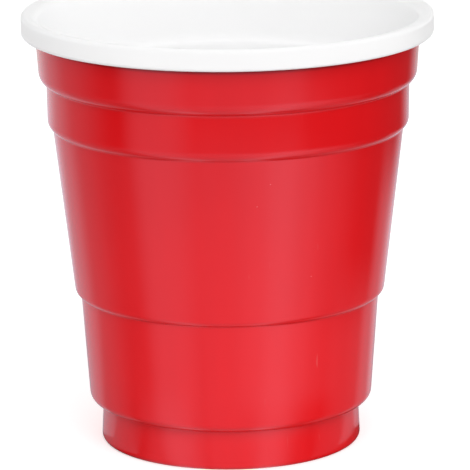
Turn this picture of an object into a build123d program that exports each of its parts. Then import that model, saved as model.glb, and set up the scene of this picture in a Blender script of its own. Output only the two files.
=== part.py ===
from build123d import *
import os
from math import radians, tan
from typing import NamedTuple

# Mini plastic party cup, drawn from one sheet and closed by a rolled lip.
# Millimetres, +Z up, the cup's axis on Z and its foot standing on Z = 0.
# The sheet is traced along its outer face, from the middle of the underside,
# round the foot, up the stepped wall and over the lip to the tucked-in end.

# Sheet
wall = 0.4
tight_bend = 0.08
crease_bend = 0.2

# Underside: a narrow standing ring round a raised panel
panel_height = 1.5
panel_radius = 13.6
ring_slope = 0.3
ring_width = 2.0
ring_bend = 0.2
foot_height = 4.97
foot_draw_in = 0.24

# Lower section, above the foot's flat ledge
lower_ledge_width = 1.56
lower_shoulder = 1.15
lower_height = 13.45
lower_flare = 0.97

# Body, the long plain section
body_ledge_width = 0.66
body_ledge_rise = 0.24
body_shoulder = 0.9
body_height = 20.41
body_flare = 2.4

# Narrow band that stops stacked cups from jamming
band_ledge_width = 0.63
band_ledge_rise = 0.55
band_shoulder = 1.15
band_height = 5.08
band_flare = 0.07

# Mouth, up to where the sheet turns out into the lip
mouth_ledge_width = 0.89
mouth_ledge_rise = 0.47
mouth_shoulder = 1.5
mouth_height = 7.3
mouth_flare = 0.5

# Rolled lip: the top leans up and out, the end tucks back under to the wall
lip_width = 1.17
lip_rise = 0.24
lip_depth = 1.84
lip_inner_bend = 0.6
curl_clearance = 0.35

# Most of a straight run that the bends at its two ends may take up
bend_share = 0.99


class Corner(NamedTuple):
    """A corner of the traced line, with the radius that rounds it."""

    radius: float
    height: float
    bend: float


class Section(NamedTuple):
    """A ring of wall that stands out past the one below, from its ledge up."""

    ledge_width: float
    ledge_rise: float
    shoulder: float
    height: float
    flare: float


sections = [
    Section(lower_ledge_width, 0, lower_shoulder, lower_height, lower_flare),
    Section(body_ledge_width, body_ledge_rise, body_shoulder, body_height, body_flare),
    Section(band_ledge_width, band_ledge_rise, band_shoulder, band_height, band_flare),
    Section(mouth_ledge_width, mouth_ledge_rise, mouth_shoulder, mouth_height, mouth_flare),
]


def foot_corners():
    """Return the corners of the raised panel, the standing ring and the foot."""
    ring_inside = panel_radius + ring_slope
    foot_radius = ring_inside + ring_width
    return [
        Corner(0, panel_height, 0),
        Corner(panel_radius, panel_height, tight_bend),
        Corner(ring_inside, 0, wall + ring_bend),
        Corner(foot_radius, 0, wall + ring_bend),
        Corner(foot_radius - foot_draw_in, foot_height, crease_bend),
    ]


def section_corners(start, section):
    """Return the shoulder above start and the crease or turn at the section's top."""
    shoulder = Corner(
        start.radius + section.ledge_width,
        start.height + section.ledge_rise,
        section.shoulder,
    )
    top = Corner(shoulder.radius + section.flare, shoulder.height + section.height, crease_bend)
    return [shoulder, top]


def lip_corners(turn):
    """Return the corners of the lip, from its outer top edge to the tucked-in end."""
    outside = turn.radius + lip_width
    top = turn.height + lip_rise
    bottom = top - lip_depth
    wall_beside_end = turn.radius - mouth_flare * (turn.height - bottom) / mouth_height
    return [
        Corner(outside, top, tight_bend),
        Corner(outside, bottom, tight_bend),
        Corner(wall_beside_end + curl_clearance, bottom, 0),
    ]


def fitted_bends(corners):
    """Return each inner corner's bend, held to the straight runs that it joins."""
    points = [Vector(corner.radius, corner.height) for corner in corners]
    runs = [end - start for start, end in zip(points, points[1:])]
    half_turns = [radians(run.get_angle(after) / 2) for run, after in zip(runs, runs[1:])]
    bends = [corner.bend for corner in corners[1:-1]]
    setbacks = [0, *(bend * tan(half) for bend, half in zip(bends, half_turns)), 0]
    fits = [
        min(1, bend_share * run.length / (before + after))
        for run, before, after in zip(runs, setbacks, setbacks[1:])
    ]
    return [bend * min(fit, fit_after) for bend, fit, fit_after in zip(bends, fits, fits[1:])]


corners = foot_corners()
for section in sections:
    corners += section_corners(corners[-1], section)
corners[-1] = corners[-1]._replace(bend=lip_inner_bend)
corners += lip_corners(corners[-1])

with BuildPart() as cup:
    with BuildSketch(Plane.XZ):
        with BuildLine():
            points = [(corner.radius, corner.height) for corner in corners]
            outer_face = FilletPolyline(*points, radius=fitted_bends(corners))
            offset(outer_face, amount=wall, side=Side.LEFT)
        make_face()
    revolve(axis=Axis.Z)

os.makedirs("parts", exist_ok=True)
export_step(cup.part, "parts/cup.step")
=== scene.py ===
"""Looks of a mini plastic party cup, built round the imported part.

The cup is drawn from one sheet of two bonded plies: a thin red one outside and a
thicker white one inside. The wall climbs in steps from a narrow foot to a wide
mouth. There the sheet rolls outward, so the lip shows the white ply and the red one
ends up inside the roll. Each ply is a closed shell, turned about the cup's axis from
the line of the sheet's outer face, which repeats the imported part's sizes.

Lengths are in metres, with Z up, the axis on Z and the foot standing on Z = 0.
"""

import logging
import math
from dataclasses import dataclass, field
from enum import Enum
from typing import Any, ClassVar, Iterable, Sequence, Union

import bpy
from mathutils import Matrix, Vector


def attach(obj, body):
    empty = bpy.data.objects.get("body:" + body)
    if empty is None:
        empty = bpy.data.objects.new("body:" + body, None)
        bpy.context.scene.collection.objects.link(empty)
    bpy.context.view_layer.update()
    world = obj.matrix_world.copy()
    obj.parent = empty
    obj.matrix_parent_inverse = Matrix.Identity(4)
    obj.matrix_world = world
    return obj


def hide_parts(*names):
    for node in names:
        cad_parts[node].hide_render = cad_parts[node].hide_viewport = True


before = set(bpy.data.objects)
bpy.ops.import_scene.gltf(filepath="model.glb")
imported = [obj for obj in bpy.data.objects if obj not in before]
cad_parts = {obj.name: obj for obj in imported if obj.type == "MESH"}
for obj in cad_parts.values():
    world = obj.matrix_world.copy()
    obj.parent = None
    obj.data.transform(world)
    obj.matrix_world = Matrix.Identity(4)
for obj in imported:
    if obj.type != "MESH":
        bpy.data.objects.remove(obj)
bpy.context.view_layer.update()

log = logging.getLogger("party_cup")

MM = 0.001
MICRON = 0.000001
BODY = "root"
NODE = "cup"

Colour = tuple[float, float, float, float]
Number = Union["Link", float]
WHITE: Colour = (1.0, 1.0, 1.0, 1.0)
BLACK: Colour = (0.0, 0.0, 0.0, 1.0)


# Node trees


class Link:
    """A socket in a node tree, written into sums that add Math nodes."""

    def __init__(self, graph: "Graph", socket: bpy.types.NodeSocket) -> None:
        """Keeps the socket and the graph that its sums go into."""
        self.graph = graph
        self.socket = socket

    def __add__(self, other: Number) -> "Link":
        """This value plus another."""
        return self.graph.maths("ADD", self, other)

    def __radd__(self, other: float) -> "Link":
        """A plain number plus this value."""
        return self.graph.maths("ADD", other, self)

    def __sub__(self, other: Number) -> "Link":
        """This value less another."""
        return self.graph.maths("SUBTRACT", self, other)

    def __rsub__(self, other: float) -> "Link":
        """A plain number less this value."""
        return self.graph.maths("SUBTRACT", other, self)

    def __mul__(self, other: Number) -> "Link":
        """This value times another."""
        return self.graph.maths("MULTIPLY", self, other)

    def __rmul__(self, other: float) -> "Link":
        """A plain number times this value."""
        return self.graph.maths("MULTIPLY", other, self)

    def __truediv__(self, other: Number) -> "Link":
        """This value over another."""
        return self.graph.maths("DIVIDE", self, other)


def between(share: Link, first: Number, second: Number) -> Link:
    """The value that goes from the first to the second as the share goes from 0 to 1."""
    return first + (second - first) * share


class Graph:
    """A node tree being put together, for a finish, the world or a shape."""

    def __init__(self, tree: bpy.types.NodeTree) -> None:
        """Starts on a tree, which is emptied."""
        self.tree = tree
        self.tree.nodes.clear()

    def node(
        self,
        kind: str,
        settings: dict[str, Any] | None = None,
        values: dict[str, Any] | None = None,
    ) -> bpy.types.Node:
        """Adds a node.

        Args:
            kind: the node's type.
            settings: its own properties, set before its sockets.
            values: numbers, colours or links by socket identifier.

        Returns:
            The new node.
        """
        made = self.tree.nodes.new(kind)
        for name, value in (settings or {}).items():
            setattr(made, name, value)
        for name, value in (values or {}).items():
            socket = next(s for s in made.inputs if s.identifier == name)
            if isinstance(value, Link):
                self.tree.links.new(value.socket, socket)
            else:
                socket.default_value = value
        return made

    def link(
        self,
        kind: str,
        output: str,
        settings: dict[str, Any] | None = None,
        values: dict[str, Any] | None = None,
    ) -> Link:
        """Adds a node and takes one of its outputs.

        Args:
            kind: the node's type.
            output: the identifier of the output that is wanted.
            settings: the node's own properties.
            values: numbers, colours or links by socket identifier.

        Returns:
            The output, ready for a sum or for another node.
        """
        made = self.node(kind, settings, values)
        return Link(self, next(s for s in made.outputs if s.identifier == output))

    def maths(self, operation: str, first: Number, second: Number = 0.0) -> Link:
        """One Math node on one or two values."""
        return self.link(
            "ShaderNodeMath",
            "Value",
            {"operation": operation},
            {"Value": first, "Value_001": second},
        )

    def vector(
        self, operation: str, output: str, first: Any, second: Any = (0.0, 0.0, 0.0)
    ) -> Link:
        """One Vector Math node on one or two vectors."""
        return self.link(
            "ShaderNodeVectorMath",
            output,
            {"operation": operation},
            {"Vector": first, "Vector_001": second},
        )

    def step(self, value: Link, low: float, high: float) -> Link:
        """Eases from 0 at low to 1 at high, where low may be the larger of the two.

        Args:
            value: the value that is stepped.
            low: where the step starts.
            high: where it is complete.

        Returns:
            The eased value, from 0 to 1.
        """
        return self.link(
            "ShaderNodeMapRange",
            "Result",
            {"interpolation_type": "SMOOTHSTEP"},
            {"Value": value, "From Min": low, "From Max": high},
        )

    def blend(self, share: Number, first: Any, second: Any) -> Link:
        """Mixes two colours.

        Args:
            share: how much of the second colour there is, from 0 to 1.
            first: the colour where the share is 0.
            second: the colour where the share is 1.

        Returns:
            The mixed colour.
        """
        return self.link(
            "ShaderNodeMix",
            "Result_Color",
            {"data_type": "RGBA"},
            {"Factor_Float": share, "A_Color": first, "B_Color": second},
        )


# Finishes


class Grain(Enum):
    """The directions in which marks in the drawn sheet may run, as stretches of XYZ."""

    EVEN = (1.0, 1.0, 1.0)
    UP_THE_WALL = (1.0, 1.0, 0.07)
    ROUND_THE_WALL = (0.05, 0.05, 1.0)


@dataclass(frozen=True)
class Mark:
    """A soft random pattern in the surface.

    Attributes:
        size: how far apart its patches lie.
        grain: the way in which they run.
        detail: how many finer layers it has.
        average: its average strength.
    """

    average: ClassVar[float] = 0.5

    size: float
    grain: Grain = Grain.EVEN
    detail: float = 2.0

    def on(self, graph: Graph, place: Link) -> Link:
        """Lays the pattern over a surface.

        Args:
            graph: the finish's tree.
            place: the surface's own coordinates.

        Returns:
            The pattern's strength, from 0 to 1.
        """
        stretched = graph.vector("MULTIPLY", "Vector", place, self.grain.value)
        return graph.link(
            "ShaderNodeTexNoise",
            "Fac",
            {"noise_dimensions": "3D"},
            {"Vector": stretched, "Scale": 1 / self.size, "Detail": self.detail},
        )


@dataclass(frozen=True)
class Dust:
    """Fine specks of dust, about one to every five or six square centimetres.

    Attributes:
        spacing: how far apart the places lie where there may be a speck.
        share: the share of those places that have one.
        edges: how far from its middle a speck ends and is whole, in spacings.
        height: how far it stands out.
        cover: how much of its own colour it shows.
        dulling: how much duller it makes the gloss.
    """

    spacing: float = 1.6 * MM
    share: float = 0.05
    edges: tuple[float, float] = (0.045, 0.0225)
    height: float = 12 * MICRON
    cover: float = 0.35
    dulling: float = 0.3

    def on(self, graph: Graph, place: Link) -> Link:
        """Scatters the specks over a surface.

        Args:
            graph: the finish's tree.
            place: the surface's own coordinates.

        Returns:
            1 on a speck and 0 off it.
        """
        cells = graph.node(
            "ShaderNodeTexVoronoi",
            {"feature": "F1"},
            {"Vector": place, "Scale": 1 / self.spacing},
        )
        distance = Link(graph, cells.outputs["Distance"])
        pick = graph.link(
            "ShaderNodeSeparateColor", "Red", None, {"Color": Link(graph, cells.outputs["Color"])}
        )
        chosen = graph.maths("LESS_THAN", pick, self.share)
        return graph.step(distance, *self.edges) * chosen


@dataclass(frozen=True)
class Scuffs:
    """Short faint scuffs up the wall, which keep to some parts of it.

    Attributes:
        mark: their pattern.
        edges: the strengths of that pattern between which a scuff sets in.
        cloud_edges: the strengths of the sheet's clouds between which scuffs set in.
        depth: how deep a scuff is.
        cover: how much of the dust's colour it shows.
        dulling: how much duller it makes the gloss.
    """

    mark: Mark = Mark(0.35 * MM, Grain.UP_THE_WALL, 0.0)
    edges: tuple[float, float] = (0.83, 0.9)
    cloud_edges: tuple[float, float] = (0.52, 0.65)
    depth: float = 1.5 * MICRON
    cover: float = 0.1
    dulling: float = 0.15

    def on(self, graph: Graph, place: Link, cloud: Link) -> Link:
        """Scatters the scuffs over a surface.

        Args:
            graph: the finish's tree.
            place: the surface's own coordinates.
            cloud: the strength of the sheet's clouds.

        Returns:
            1 on a scuff and 0 off it.
        """
        scuffed = graph.step(self.mark.on(graph, place), *self.edges)
        return scuffed * graph.step(cloud, *self.cloud_edges)


@dataclass(frozen=True)
class DrawnPlastic:
    """Glossy plastic sheet as it leaves the forming mould.

    Attributes:
        name: what the finish is called.
        colour: its colour where the sheet is thickest.
        thin_colour: its colour where drawing has thinned it.
        dust_colour: the colour of the specks and the scuffs on it.
        roughness: how dull its gloss is.
        ripple_height: how deep the slow ripples in the gloss are.
        peel_height: how deep the fine orange peel is.
        line_height: how deep the lines left by the turned mould are.
        gloss_colour: the tint of its gloss where it is seen straight on.
        chalkiness: how evenly it scatters light, from 0 to 1.
        ior: the plastic's index of refraction.
        drawn_height: the height below which the sheet is drawn thinnest.
        undrawn_height: the height above which it keeps most of its thickness.
        drawn_share: how much of the thinning goes by height; the rest is patchy.
        cloud_share: how much of the patchiness is clouds; the rest is streaks.
        patchy_edges: the strengths of those between which the sheet goes from thick to thin.
        under_lip_painted_shade: how much painted shade darkens its colour just under the lip, from
            0 to 1.
        under_lip_shade_heights: the heights between which that painted shade sets in.
        cloud: the broad patches in which its thickness and its gloss vary.
        cloud_dulling: how far its gloss varies with them.
        draw: the streaks up the wall from drawing.
        ripple: the slow ripples in the gloss.
        peel: the fine orange peel.
        turned_line: the fine lines round the wall from the turned mould.
        scuffs: the scuffs on it.
        dust: the specks on it.
    """

    name: str
    colour: Colour
    thin_colour: Colour
    dust_colour: Colour
    roughness: float
    ripple_height: float
    peel_height: float
    line_height: float
    gloss_colour: Colour = WHITE
    chalkiness: float = 0.0
    ior: float = 1.55
    drawn_height: float = 6 * MM
    undrawn_height: float = 47 * MM
    drawn_share: float = 0.75
    cloud_share: float = 0.6
    patchy_edges: tuple[float, float] = (0.3, 0.7)
    under_lip_painted_shade: float = 0.0
    under_lip_shade_heights: tuple[float, float] = (49.7 * MM, 50.25 * MM)
    cloud: Mark = Mark(14 * MM)
    cloud_dulling: float = 0.12
    draw: Mark = Mark(2.6 * MM, Grain.UP_THE_WALL)
    ripple: Mark = Mark(5 * MM, detail=1.0)
    peel: Mark = Mark(0.7 * MM, detail=1.0)
    turned_line: Mark = Mark(0.22 * MM, Grain.ROUND_THE_WALL)
    scuffs: Scuffs = Scuffs()
    dust: Dust = Dust()

    def sheet_colour(self, graph: Graph, place: Link, cloud: Link) -> Link:
        """Colours the sheet, paler where drawing has thinned it, with painted shade just under the
        lip.

        Args:
            graph: the finish's tree.
            place: the surface's own coordinates.
            cloud: the strength of the sheet's clouds.

        Returns:
            The clean sheet's colour.
        """
        rise = graph.link("ShaderNodeSeparateXYZ", "Z", None, {"Vector": place})
        drawn = graph.step(rise, self.undrawn_height, self.drawn_height)
        streak = self.draw.on(graph, place)
        patch = self.cloud_share * cloud + (1 - self.cloud_share) * streak
        patchy = graph.step(patch, *self.patchy_edges)
        thinning = self.drawn_share * drawn + (1 - self.drawn_share) * patchy
        drawn_colour = graph.blend(thinning, self.colour, self.thin_colour)
        # Painted shade: the colour goes towards black just under the lip, where the lip's overhang
        # shades the wall.
        tucked = self.under_lip_painted_shade * graph.step(rise, *self.under_lip_shade_heights)
        return graph.blend(tucked, drawn_colour, BLACK)

    def relief(self, graph: Graph, place: Link, scuff: Link, speck: Link) -> Link:
        """Makes the surface slightly uneven.

        Args:
            graph: the finish's tree.
            place: the surface's own coordinates.
            scuff: 1 on a scuff and 0 off it.
            speck: 1 on a speck of dust and 0 off it.

        Returns:
            The surface's normal.
        """
        height = (
            self.ripple.on(graph, place) * (self.ripple_height / MICRON)
            + self.peel.on(graph, place) * (self.peel_height / MICRON)
            + self.turned_line.on(graph, place) * (self.line_height / MICRON)
            + speck * (self.dust.height / MICRON)
            - scuff * (self.scuffs.depth / MICRON)
        )
        return graph.link(
            "ShaderNodeBump", "Normal", None, {"Distance": MICRON, "Height": height}
        )

    def material(self) -> bpy.types.Material:
        """Builds the finish.

        Returns:
            The material, which reads only the piece's own coordinates.
        """
        made = bpy.data.materials.new(self.name)
        made.use_nodes = True
        graph = Graph(made.node_tree)
        place = graph.link("ShaderNodeTexCoord", "Object")
        cloud = self.cloud.on(graph, place)
        scuff = self.scuffs.on(graph, place, cloud)
        speck = self.dust.on(graph, place)
        clean = self.sheet_colour(graph, place, cloud)
        cover = speck * self.dust.cover + scuff * self.scuffs.cover
        dulling = (
            (cloud - self.cloud.average) * self.cloud_dulling
            + scuff * self.scuffs.dulling
            + speck * self.dust.dulling
        )
        surface = graph.link(
            "ShaderNodeBsdfPrincipled",
            "BSDF",
            None,
            {
                "Base Color": graph.blend(cover, clean, self.dust_colour),
                "Roughness": self.roughness + dulling,
                "IOR": self.ior,
                "Specular Tint": self.gloss_colour,
                "Diffuse Roughness": self.chalkiness,
                "Normal": self.relief(graph, place, scuff, speck),
            },
        )
        graph.node("ShaderNodeOutputMaterial", None, {"Surface": surface})
        return made


# The sheet


@dataclass(frozen=True)
class Corner:
    """A corner of the sheet's outer face.

    Attributes:
        radius: how far it is from the axis.
        height: how high it is above the table.
        bend: the radius that rounds it.
    """

    radius: float
    height: float
    bend: float

    @property
    def place(self) -> Vector:
        """The corner as a point beside the axis."""
        return Vector((self.radius, self.height))


@dataclass(frozen=True)
class Spot:
    """A point of the sheet's outer face.

    Attributes:
        place: the point, beside the axis.
        inward: the direction that leads into the sheet.
    """

    place: Vector
    inward: Vector

    def sunk(self, depth: float) -> Vector:
        """The point that lies this deep inside the sheet."""
        return self.place + self.inward * depth


@dataclass(frozen=True)
class Section:
    """A section of the wall, with the ledge that it starts from.

    Attributes:
        ledge_width: how far the ledge steps out.
        ledge_rise: how far it climbs as it does.
        shoulder: the bend from the ledge into the wall.
        height: how tall the wall is.
        flare: how far the wall leans out over that height.
    """

    ledge_width: float
    ledge_rise: float
    shoulder: float
    height: float
    flare: float

    def corners(self, start: Corner, bend: float) -> list[Corner]:
        """The section's two corners.

        Args:
            start: the corner below, where the ledge begins.
            bend: the bend at the section's top.

        Returns:
            The shoulder and the top.
        """
        shoulder = Corner(
            start.radius + self.ledge_width, start.height + self.ledge_rise, self.shoulder
        )
        top = Corner(shoulder.radius + self.flare, shoulder.height + self.height, bend)
        return [shoulder, top]


@dataclass(frozen=True)
class Foot:
    """The underside, a narrow standing ring round a raised panel, and the foot's short wall.

    Attributes:
        panel_height: how high the panel is above the table.
        panel_radius: how far it reaches from the axis.
        ring_slope: how far the ring's inner side leans outward as it comes down.
        ring_width: how wide the ring is.
        ring_bend: the bend of the sheet's inner face at the ring's edges.
        height: how high the foot's wall reaches.
        draw_in: how far it leans inward over that height.
    """

    panel_height: float = 1.5 * MM
    panel_radius: float = 13.6 * MM
    ring_slope: float = 0.3 * MM
    ring_width: float = 2.0 * MM
    ring_bend: float = 0.2 * MM
    height: float = 4.97 * MM
    draw_in: float = 0.24 * MM


@dataclass(frozen=True)
class Lip:
    """The rolled lip, whose end tucks back under towards the wall.

    Attributes:
        width: how far it stands out from the wall.
        rise: how far it climbs as it does.
        depth: how tall its outer side is.
        inner_bend: the bend from the wall into the lip.
        curl_clearance: how far short of the wall its end stops.
    """

    width: float = 1.17 * MM
    rise: float = 0.24 * MM
    depth: float = 1.84 * MM
    inner_bend: float = 0.6 * MM
    curl_clearance: float = 0.35 * MM


@dataclass(frozen=True)
class Outline:
    """The line of the sheet's outer face, from the middle of the underside to the lip's end.

    Attributes:
        corners: the line's corners, in order.
        arc_step: the most that one step of a bend turns, in degrees.
        fewest_steps: the fewest steps in a bend.
        hold: how near a bend its straight neighbours get an extra point.
        longest_step: the most that one step of a straight run measures.
    """

    corners: tuple[Corner, ...]
    arc_step: float = 10.0
    fewest_steps: int = 2
    hold: float = 0.25 * MM
    longest_step: float = 2.4 * MM

    def bent(self, before: Corner, corner: Corner, after: Corner) -> list[Spot]:
        """Rounds one corner.

        Args:
            before: the corner before it.
            corner: the corner that is rounded.
            after: the corner after it.

        Returns:
            The bend's points, with their directions into the sheet.
        """
        along = (corner.place - before.place).normalized()
        onward = (after.place - corner.place).normalized()
        turn = math.atan2(along.x * onward.y - along.y * onward.x, along.dot(onward))
        inward = Vector((-along.y, along.x))
        side = math.copysign(1.0, turn)
        start = corner.place - along * (corner.bend * math.tan(abs(turn) / 2))
        centre = start + inward * (corner.bend * side)
        steps = max(self.fewest_steps, math.ceil(math.degrees(abs(turn)) / self.arc_step))
        spots = []
        for step in range(steps + 1):
            turned = Matrix.Rotation(turn * step / steps, 2) @ inward
            spots.append(Spot(centre - turned * (corner.bend * side), turned))
        return spots

    def run(self, start: Spot, end: Spot) -> list[Spot]:
        """Points inside a straight run, so that smooth shading stays true along it.

        Args:
            start: the run's first point.
            end: its last point.

        Returns:
            The points between the two, which may be none.
        """
        reach = end.place - start.place
        inner = reach.length - 2 * self.hold
        if inner < self.hold:
            return []
        count = math.ceil(inner / self.longest_step)
        stops = [self.hold + inner * step / count for step in range(count + 1)]
        return [Spot(start.place + reach.normalized() * stop, start.inward) for stop in stops]

    def spots(self) -> list[Spot]:
        """Traces the whole line.

        Returns:
            Its points from the axis to the lip's tucked end.
        """
        first, second = self.corners[0], self.corners[1]
        ahead = (second.place - first.place).normalized()
        traced = [Spot(first.place, Vector((-ahead.y, ahead.x)))]
        for before, corner, after in zip(self.corners, self.corners[1:], self.corners[2:]):
            bend = self.bent(before, corner, after)
            traced += self.run(traced[-1], bend[0]) + bend
        end = Spot(self.corners[-1].place, traced[-1].inward)
        return traced + self.run(traced[-1], end) + [end]


# The cup


@dataclass
class TurnedPly:
    """A ply of the sheet, turned about the axis into a closed shell.

    Attributes:
        name: the piece's name.
        slot: the name of a material slot in the record; it is not used.
        outer_depth: how deep its outer face lies in the sheet.
        inner_depth: how deep its inner face lies.
        finish: what its surface looks like.
        segments: how many flats go round it.
        seam: the distance within which points are one.
        crease: the angle past which an edge is shaded sharp, in degrees.
    """

    name: str
    slot: str
    outer_depth: float
    inner_depth: float
    finish: DrawnPlastic
    segments: int = 192
    seam: float = 0.2 * MICRON
    crease: float = 40.0

    def section(self, outline: Outline) -> bpy.types.Object:
        """Draws the ply's section as a line of edges, from the axis and back to it.

        Args:
            outline: the line of the sheet's outer face.

        Returns:
            The object that the shape tree turns.
        """
        spots = outline.spots()
        places = [spot.sunk(self.outer_depth) for spot in spots]
        places += [spot.sunk(self.inner_depth) for spot in reversed(spots)]
        points = [(place.x, 0.0, place.y) for place in places]
        edges = [(number, number + 1) for number in range(len(points) - 1)]
        mesh = bpy.data.meshes.new(f"{self.name}_section")
        mesh.from_pydata(points, edges, [])
        drawn = bpy.data.objects.new(f"{self.name}_section", mesh)
        bpy.context.scene.collection.objects.link(drawn)
        return drawn

    @staticmethod
    def turning_tree() -> tuple[bpy.types.NodeTree, dict[str, str]]:
        """Builds the shape tree that turns a section about Z.

        Returns:
            The tree, and the identifier of each of its inputs by name.
        """
        tree = bpy.data.node_groups.new("Turned about the axis", "GeometryNodeTree")
        tree.is_modifier = True
        graph = Graph(tree)
        kinds = {
            "Section": "NodeSocketGeometry",
            "Segments": "NodeSocketInt",
            "Seam": "NodeSocketFloat",
            "Crease": "NodeSocketFloat",
            "Finish": "NodeSocketMaterial",
        }
        names = {
            name: tree.interface.new_socket(name, in_out="INPUT", socket_type=kind).identifier
            for name, kind in kinds.items()
        }
        shell = tree.interface.new_socket(
            "Shell", in_out="OUTPUT", socket_type=kinds["Section"]
        )
        given = graph.node("NodeGroupInput")
        section, segments, seam, crease, finish = (
            Link(graph, given.outputs[name]) for name in kinds
        )

        count = graph.link(
            "GeometryNodeAttributeDomainSize", "Point Count", None, {"Geometry": section}
        )
        grid = graph.link(
            "GeometryNodeMeshGrid",
            "Mesh",
            None,
            {"Vertices X": segments + 1, "Vertices Y": count},
        )
        index = graph.link("GeometryNodeInputIndex", "Index")
        column, row = (
            graph.link(
                "FunctionNodeIntegerMath",
                "Value",
                {"operation": operation},
                {"Value": index, "Value_001": count},
            )
            for operation in ("DIVIDE_FLOOR", "MODULO")
        )
        point = graph.link(
            "GeometryNodeSampleIndex",
            "Value",
            {"data_type": "FLOAT_VECTOR", "domain": "POINT"},
            {
                "Geometry": section,
                "Value": graph.link("GeometryNodeInputPosition", "Position"),
                "Index": row,
            },
        )
        turned = graph.link(
            "ShaderNodeVectorRotate",
            "Vector",
            {"rotation_type": "Z_AXIS"},
            {"Vector": point, "Angle": column * math.tau / segments},
        )
        placed = graph.link(
            "GeometryNodeSetPosition", "Geometry", None, {"Geometry": grid, "Position": turned}
        )
        closed = graph.link(
            "GeometryNodeMergeByDistance", "Geometry", None, {"Geometry": placed, "Distance": seam}
        )
        rounded = graph.link(
            "GeometryNodeSetShadeSmooth",
            "Geometry",
            {"domain": "FACE"},
            {"Geometry": closed, "Shade Smooth": True},
        )
        fold = graph.link("GeometryNodeInputMeshEdgeAngle", "Unsigned Angle")
        creased = graph.link(
            "GeometryNodeSetShadeSmooth",
            "Geometry",
            {"domain": "EDGE"},
            {"Geometry": rounded, "Shade Smooth": graph.maths("LESS_THAN", fold, crease)},
        )
        real = graph.link("GeometryNodeRealizeInstances", "Geometry", None, {"Geometry": creased})
        dressed = graph.link(
            "GeometryNodeSetMaterial", "Geometry", None, {"Geometry": real, "Material": finish}
        )
        graph.node("NodeGroupOutput", None, {shell.identifier: dressed})
        return tree, names

    def build(self, outline: Outline) -> bpy.types.Object:
        """Turns the ply, dresses it and sets it on the frame.

        Args:
            outline: the line of the sheet's outer face.

        Returns:
            The finished piece.
        """
        drawn = self.section(outline)
        tree, names = self.turning_tree()
        turning = drawn.modifiers.new("turned", "NODES")
        turning.node_group = tree
        turning[names["Segments"]] = self.segments
        turning[names["Seam"]] = self.seam
        turning[names["Crease"]] = math.radians(self.crease)
        turning[names["Finish"]] = self.finish.material()
        bpy.context.view_layer.update()
        depsgraph = bpy.context.evaluated_depsgraph_get()
        mesh = bpy.data.meshes.new_from_object(drawn.evaluated_get(depsgraph))
        mesh.name = self.name
        bpy.data.objects.remove(drawn)
        piece = bpy.data.objects.new(self.name, mesh)
        bpy.context.scene.collection.objects.link(piece)
        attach(piece, BODY)
        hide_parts(NODE)
        return piece


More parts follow.
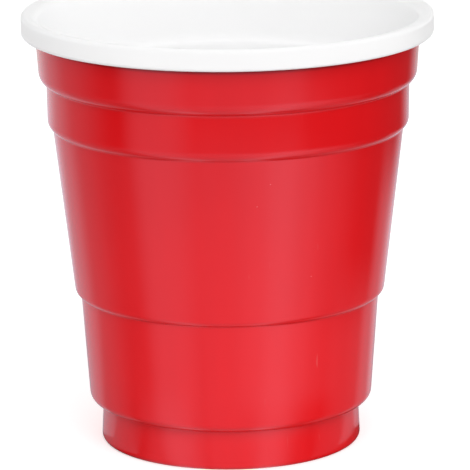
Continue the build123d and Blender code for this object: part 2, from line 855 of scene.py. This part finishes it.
@dataclass
class PartyCup:
    """The cup: one stepped sheet in two plies.

    Attributes:
        wall: how thick the sheet is.
        red_share: how much of that thickness the red ply takes up.
        tight_bend: the bend at the panel's edge and the lip's outer corners.
        crease_bend: the bend at the top of each section.
        foot: the foot's sizes.
        sections: the wall's sections, from the foot upwards.
        lip: the lip's sizes.
        red: the outside's finish.
        white: the inside's finish.
    """

    wall: float = 0.4 * MM
    red_share: float = 0.35
    tight_bend: float = 0.08 * MM
    crease_bend: float = 0.2 * MM
    foot: Foot = Foot()
    sections: tuple[Section, ...] = (
        Section(1.56 * MM, 0.0, 1.15 * MM, 13.45 * MM, 0.97 * MM),
        Section(0.66 * MM, 0.24 * MM, 0.9 * MM, 20.41 * MM, 2.4 * MM),
        Section(0.63 * MM, 0.55 * MM, 1.15 * MM, 5.08 * MM, 0.07 * MM),
        Section(0.89 * MM, 0.47 * MM, 1.5 * MM, 7.3 * MM, 0.5 * MM),
    )
    lip: Lip = Lip()
    red: DrawnPlastic = DrawnPlastic(
        name="red_gloss_plastic",
        colour=(0.73, 0.0035, 0.0055, 1.0),
        thin_colour=(0.88, 0.005, 0.0075, 1.0),
        dust_colour=(0.85, 0.55, 0.52, 1.0),
        roughness=0.13,
        ripple_height=4 * MICRON,
        peel_height=0.6 * MICRON,
        line_height=0.25 * MICRON,
        gloss_colour=(0.89, 0.89, 1.0, 1.0),
        ior=1.6,
        # Painted shade under the lip.
        under_lip_painted_shade=0.6,
    )
    white: DrawnPlastic = DrawnPlastic(
        name="white_gloss_plastic",
        colour=(0.98, 0.979, 0.98, 1.0),
        thin_colour=(0.975, 0.974, 0.976, 1.0),
        dust_colour=(0.6, 0.58, 0.56, 1.0),
        roughness=0.32,
        ripple_height=6 * MICRON,
        peel_height=0.7 * MICRON,
        line_height=0.15 * MICRON,
        chalkiness=1.0,
    )

    def outline(self) -> Outline:
        """Sets out the corners of the sheet's outer face.

        Returns:
            The line from the middle of the underside to the lip's tucked end.
        """
        foot, lip = self.foot, self.lip
        ring_inside = foot.panel_radius + foot.ring_slope
        foot_radius = ring_inside + foot.ring_width
        standing_bend = self.wall + foot.ring_bend
        corners = [
            Corner(0.0, foot.panel_height, 0.0),
            Corner(foot.panel_radius, foot.panel_height, self.tight_bend),
            Corner(ring_inside, 0.0, standing_bend),
            Corner(foot_radius, 0.0, standing_bend),
            Corner(foot_radius - foot.draw_in, foot.height, self.crease_bend),
        ]
        for section in self.sections:
            corners += section.corners(corners[-1], self.crease_bend)
        turn = corners.pop()
        shoulder = corners[-1]
        corners.append(Corner(turn.radius, turn.height, lip.inner_bend))
        top = turn.height + lip.rise
        outside = turn.radius + lip.width
        lean = (turn.radius - shoulder.radius) / (turn.height - shoulder.height)
        wall_beside_end = turn.radius - lean * (turn.height - (top - lip.depth))
        corners += [
            Corner(outside, top, self.tight_bend),
            Corner(outside, top - lip.depth, self.tight_bend),
            Corner(wall_beside_end + lip.curl_clearance, top - lip.depth, 0.0),
        ]
        return Outline(tuple(corners))

    def plies(self) -> list[TurnedPly]:
        """Splits the sheet into its two plies.

        Returns:
            The red ply and the white one.
        """
        split = self.wall * self.red_share
        return [
            TurnedPly("red_outside_ply", "red_outside", 0.0, split, self.red),
            TurnedPly("white_inside_ply", "white_inside", split, self.wall, self.white),
        ]

    def build(self) -> list[bpy.types.Object]:
        """Builds the cup.

        Returns:
            Its pieces.
        """
        outline = self.outline()
        return [ply.build(outline) for ply in self.plies()]


# The studio


def towards(azimuth: float, lift: float = 0.0) -> Vector:
    """The direction at an azimuth and an elevation, both in radians."""
    level = math.cos(lift)
    return Vector((math.sin(azimuth) * level, -math.cos(azimuth) * level, math.sin(lift)))


@dataclass(frozen=True)
class Patch:
    """A painted bright patch that glows on the floor only as the gloss of the cup mirrors it, a
    painted reflection.

    A round wall mirrors what lies in one direction as if from a spot behind its surface,
    and each direction has its own. So the patch is a wedge whose tip is that spot.

    Attributes:
        azimuth: the direction that is mirrored in degrees, from the camera round to the right.
        spread: the angle from the wedge's middle to where it starts to fade, in degrees.
        fade: the angle over which it fades, in degrees.
        level: how bright it is, where 1 is white.
        reach: how far from the cup's axis it stays bright.
        start: how far from the axis it begins.
        reach_fade: how many times its reach away it is gone.
        start_fade: how many times its start away it is whole.
        wall_radius: the radius of the wall that mirrors it.
    """

    azimuth: float
    spread: float
    fade: float
    level: float
    reach: float = 10.0
    start: float = 0.0
    reach_fade: float = 1.6
    start_fade: float = 1.3
    wall_radius: float = 19.5 * MM

    def tip(self) -> Vector:
        """The spot behind the wall from which the wedge fans out."""
        azimuth = math.radians(self.azimuth)
        surface = towards(azimuth / 2)
        # A round mirror's focus lies half its radius behind it, and nearer for slanting rays.
        behind = towards(azimuth) * (math.cos(azimuth / 2) / 2)
        return (surface - behind) * self.wall_radius

    def brightness(self, graph: Graph, place: Link, distance: Link) -> Link:
        """How bright the patch is at a place on the floor.

        Args:
            graph: the tree that it goes into.
            place: the place.
            distance: how far from the axis it is.

        Returns:
            The patch's brightness there.
        """
        away = graph.vector("SUBTRACT", "Vector", place, self.tip())
        heading = graph.vector("NORMALIZE", "Vector", away)
        direction = towards(math.radians(self.azimuth))
        facing = graph.vector("DOT_PRODUCT", "Value", heading, direction)
        outer = math.cos(math.radians(self.spread + self.fade))
        inner = math.cos(math.radians(self.spread))
        bright = graph.step(facing, outer, inner) * self.level
        bright = bright * graph.step(distance, self.reach * self.reach_fade, self.reach)
        if self.start == 0.0:
            return bright
        return bright * graph.step(distance, self.start, self.start * self.start_fade)


@dataclass(frozen=True)
class SoftBox:
    """A large soft lamp.

    Attributes:
        name: what it is called.
        azimuth: its direction from the cup in degrees, from the camera round to the right.
        elevation: its height above the horizon in degrees.
        distance: how far away it stands.
        width: how wide its face is.
        height: how tall its face is.
        level: how bright its face is, where 1 is white.
    """

    name: str
    azimuth: float
    elevation: float
    distance: float
    width: float
    height: float
    level: float

    def build(self, target: Vector) -> bpy.types.Object:
        """Sets up the lamp.

        Args:
            target: the point that it faces.

        Returns:
            The lamp.
        """
        lamp = bpy.data.lights.new(self.name, "AREA")
        lamp.shape = "RECTANGLE"
        lamp.size = self.width
        lamp.size_y = self.height
        # A face as bright as white gives off pi watts to the square metre.
        lamp.energy = self.level * math.pi * self.width * self.height
        away = towards(math.radians(self.azimuth), math.radians(self.elevation))
        placed = bpy.data.objects.new(self.name, lamp)
        placed.location = target + away * self.distance
        placed.rotation_euler = away.to_track_quat("Z", "Y").to_euler()
        placed.visible_glossy = False
        bpy.context.scene.collection.objects.link(placed)
        return placed


@dataclass
class Studio:
    """A plain pale floor in a softly lit room.

    Attributes:
        target: the point that the lamps face.
        boxes: the lamps.
        patches: the painted bright patches that glow on the floor in the cup's gloss only.
        dim: how bright the rest of the floor is in the gloss.
        gloss_levels: how bright the room is in the gloss, near the floor and overhead.
        gloss_edges: the sines of the elevations between which the one turns into the other.
        gloss_tint: the tint of the floor in the gloss.
        gloss_cool: the distances from the axis between which that tint sets in.
        fill_levels: how bright the room is as light on the cup, near the floor and overhead.
        fill_edges: the sines of the elevations between which the one turns into the other.
        floor_size: how wide the floor is.
        floor_shade: how pale the floor looks to the camera, at least.
        bright_side: the azimuth of the side on which painted light makes the floor brighter, in
            degrees.
        side_edges: the cosines of the angles from it between which the floor gets brighter.
        foot_shades: how pale it is painted beside the foot, a painted shadow, on the duller side
            and on the brighter.
        near_shade: how pale it is painted round the cup, a painted pool of light.
        far_shade: how pale it is painted further out, where it is painted dimmer.
        foot_edges: the distances from the axis between which foot turns into near.
        near_edges: the distances between which near turns into far.
        floor_roughness: how matt it is.
        floor_lift: how much whiter the floor looks than it is lit.
        bounces: how many times light may pass from wall to wall in the white cup.
    """

    target: Vector = field(default_factory=lambda: Vector((0.0, 0.0, 27 * MM)))
    boxes: tuple[SoftBox, ...] = (
        SoftBox("front_box", 9.0, 35.0, distance=0.9, width=0.8, height=0.6, level=2.44),
        SoftBox("side_box", 75.0, 12.0, distance=0.9, width=0.8, height=0.5, level=0.2),
    )
    patches: tuple[Patch, ...] = (
        Patch(-170.0, 36.0, 22.0, 0.27),
        Patch(-129.0, 1.0, 53.0, 0.35),
        Patch(185.0, 21.0, 27.0, 0.35),
        Patch(147.0, 1.0, 25.0, 0.36, reach=0.095),
        Patch(110.0, 1.0, 34.0, 0.22, reach=0.051),
        Patch(48.0, 1.0, 53.0, 0.31, reach=0.11, start=0.031),
        Patch(44.0, 1.0, 23.0, 0.24, reach=0.119),
        Patch(-7.0, 63.0, 27.0, 0.18, reach=0.12),
        Patch(11.0, 26.0, 18.0, 0.33, reach=0.156),
        Patch(-46.0, 1.0, 26.0, 0.54),
        Patch(-54.0, 1.0, 26.0, 0.24, reach=0.028, wall_radius=15.8 * MM),
        Patch(34.0, 1.0, 22.0, 0.2, reach=0.028, wall_radius=15.8 * MM),
    )
    dim: float = 0.07
    gloss_levels: tuple[float, float] = (0.9, 0.12)
    gloss_edges: tuple[float, float] = (0.0, 0.35)
    gloss_tint: Colour = (1.0, 1.0, 1.12, 1.0)
    gloss_cool: tuple[float, float] = (0.235, 0.2)
    fill_levels: tuple[float, float] = (0.84, 0.545)
    fill_edges: tuple[float, float] = (0.15, 0.75)
    floor_size: float = 8.0
    floor_shade: float = 0.92
    bright_side: float = 45.0
    side_edges: tuple[float, float] = (-0.4, 0.7)
    foot_shades: tuple[float, float] = (0.46, 0.7)
    near_shade: float = 0.97
    far_shade: float = 0.15
    foot_edges: tuple[float, float] = (0.025, 0.06)
    near_edges: tuple[float, float] = (0.12, 0.26)
    floor_roughness: float = 0.9
    floor_lift: float = 0.5
    bounces: int = 10

    @staticmethod
    def rays(graph: Graph) -> tuple[Link, Link]:
        """Tells the rays apart.

        Args:
            graph: the tree that the test goes into.

        Returns:
            1 for what the camera sees, and 1 for what gloss or clear plastic shows.
        """
        path = graph.node("ShaderNodeLightPath")
        seen, glossy, through = (
            Link(graph, path.outputs[f"Is {kind} Ray"])
            for kind in ("Camera", "Glossy", "Transmission")
        )
        return seen, graph.maths("MAXIMUM", glossy, through)

    def floor_gloss(self, graph: Graph, place: Link, distance: Link) -> Number:
        """How bright the floor glows where the cup's gloss mirrors it, a painted reflection.

        Args:
            graph: the tree that it goes into.
            place: a place on the floor.
            distance: how far from the axis it is.

        Returns:
            The brightness, where 1 is white.
        """
        total: Number = self.dim
        for patch in self.patches:
            total = total + patch.brightness(graph, place, distance)
        return total

    def world(self) -> None:
        """Makes the room: white to the camera, otherwise brighter near the floor than overhead."""
        made = bpy.data.worlds.new("studio_room")
        made.use_nodes = True
        bpy.context.scene.world = made
        graph = Graph(made.node_tree)
        seen, mirrored = self.rays(graph)
        place = graph.link("ShaderNodeTexCoord", "Generated")
        rise = graph.link("ShaderNodeSeparateXYZ", "Z", None, {"Vector": place})
        fill = between(graph.step(rise, *self.fill_edges), *self.fill_levels)
        gloss = between(graph.step(rise, *self.gloss_edges), *self.gloss_levels)
        strength = between(seen, between(mirrored, fill, gloss), 1.0)
        room = graph.link(
            "ShaderNodeBackground", "Background", None, {"Color": WHITE, "Strength": strength}
        )
        graph.node("ShaderNodeOutputWorld", None, {"Surface": room})

    def floor_finish(self) -> bpy.types.Material:
        """Builds the floor's finish, matt and white to the camera, which keeps the cup's shadow.

        In the light that it throws back onto the cup, it carries painted shadow beside the foot
        and painted light round the cup and on its bright side. In the cup's gloss it glows with
        painted reflections of bright patches.

        Returns:
            The material.
        """
        made = bpy.data.materials.new("white_floor")
        made.use_nodes = True
        graph = Graph(made.node_tree)
        seen, mirrored = self.rays(graph)
        place = graph.link("ShaderNodeTexCoord", "Object")
        distance = graph.vector("LENGTH", "Value", place)
        heading = graph.vector("NORMALIZE", "Vector", place)
        side = towards(math.radians(self.bright_side))
        facing = graph.vector("DOT_PRODUCT", "Value", heading, side)
        # Painted shade and light for what the floor throws back onto the cup: darker beside the
        # foot, brighter on one side and round the cup, dimmer further out.
        foot = between(graph.step(facing, *self.side_edges), *self.foot_shades)
        near = between(graph.step(distance, *self.foot_edges), foot, self.near_shade)
        bounced = between(graph.step(distance, *self.near_edges), near, self.far_shade)
        pale = graph.maths("MAXIMUM", bounced, seen * self.floor_shade) * (1 - mirrored)
        cool = mirrored * graph.step(distance, *self.gloss_cool)
        tint = graph.blend(cool, WHITE, self.gloss_tint)
        # Painted reflections: the floor glows with the bright patches only where the cup's gloss
        # sees it.
        shine = seen * self.floor_lift + mirrored * self.floor_gloss(graph, place, distance)
        lit, glow = (
            graph.link(
                "ShaderNodeVectorMath",
                "Vector",
                {"operation": "SCALE"},
                {"Vector": colour, "Scale": level},
            )
            for colour, level in ((WHITE[:3], pale), (tint, shine))
        )
        surface = graph.link(
            "ShaderNodeBsdfPrincipled",
            "BSDF",
            None,
            {
                "Base Color": lit,
                "Roughness": self.floor_roughness,
                "Specular IOR Level": 0.0,
                "Emission Color": glow,
                "Emission Strength": 1.0,
            },
        )
        graph.node("ShaderNodeOutputMaterial", None, {"Surface": surface})
        return made

    def floor(self) -> bpy.types.Object:
        """Lays the floor.

        Returns:
            The floor, which isn't part of the cup.
        """
        half = self.floor_size / 2
        mesh = bpy.data.meshes.new("studio_floor")
        mesh.from_pydata(
            [(-half, -half, 0.0), (half, -half, 0.0), (half, half, 0.0), (-half, half, 0.0)],
            [],
            [(0, 1, 2, 3)],
        )
        mesh.materials.append(self.floor_finish())
        laid = bpy.data.objects.new("studio_floor", mesh)
        bpy.context.scene.collection.objects.link(laid)
        return laid

    def build(self) -> list[bpy.types.Object]:
        """Sets up the room, its floor and its lamps.

        Returns:
            The floor and the lamps.
        """
        bpy.context.scene.cycles.diffuse_bounces = self.bounces
        self.world()
        return [self.floor()] + [box.build(self.target) for box in self.boxes]


@dataclass(frozen=True)
class ProductCamera:
    """The camera, a long lens looking slightly down at the cup.

    Attributes:
        place: where it stands.
        pitch: how far it looks down, in degrees.
        turn: how far it looks to the right, in degrees.
        roll: how far it leans, in degrees.
        focal_pixels: its focal length in pixels of the picture.
        frame_pixels: the picture's width in pixels.
        sensor_width: the width of its sensor, in millimetres.
        sight: the nearest and the furthest that it sees.
    """

    place: tuple[float, float, float] = (0.0, -494.37 * MM, 145.67 * MM)
    pitch: float = 13.693
    turn: float = 0.08
    roll: float = -0.516
    focal_pixels: float = 4167.3
    frame_pixels: float = 470.0
    sensor_width: float = 36.0
    sight: tuple[float, float] = (0.01, 20.0)

    def build(self) -> bpy.types.Object:
        """Sets up the camera and makes it the scene's own.

        Returns:
            The camera.
        """
        pitch, turn, roll = (math.radians(a) for a in (self.pitch, self.turn, self.roll))
        ahead = Vector(
            (math.sin(turn) * math.cos(pitch), math.cos(turn) * math.cos(pitch), -math.sin(pitch))
        )
        level = Vector((math.cos(turn), -math.sin(turn), 0.0))
        above = level.cross(ahead)
        right = level * math.cos(roll) + above * math.sin(roll)
        up = above * math.cos(roll) - level * math.sin(roll)
        lens = bpy.data.cameras.new("product_camera")
        lens.sensor_width = self.sensor_width
        lens.lens = self.focal_pixels / self.frame_pixels * self.sensor_width
        lens.clip_start, lens.clip_end = self.sight
        made = bpy.data.objects.new("product_camera", lens)
        turned = Matrix((right, up, -ahead)).transposed()
        made.matrix_world = Matrix.Translation(self.place) @ turned.to_4x4()
        bpy.context.scene.collection.objects.link(made)
        bpy.context.scene.camera = made
        return made


def report(made: Iterable[bpy.types.Object]) -> None:
    """Logs what each new object is."""
    for thing in made:
        size = " x ".join(f"{length / MM:.2f}" for length in thing.dimensions)
        log.info("%s: %s, %s mm", thing.name, thing.type.lower(), size)


def main() -> None:
    """Builds the camera, the cup and the studio, in that order."""
    logging.basicConfig(level=logging.INFO, format="%(name)s: %(message)s")
    bpy.context.scene.view_settings.view_transform = "Standard"
    report([ProductCamera().build()])
    report(PartyCup().build())
    report(Studio().build())
    bpy.context.view_layer.update()


if __name__ == "__main__":
    main()
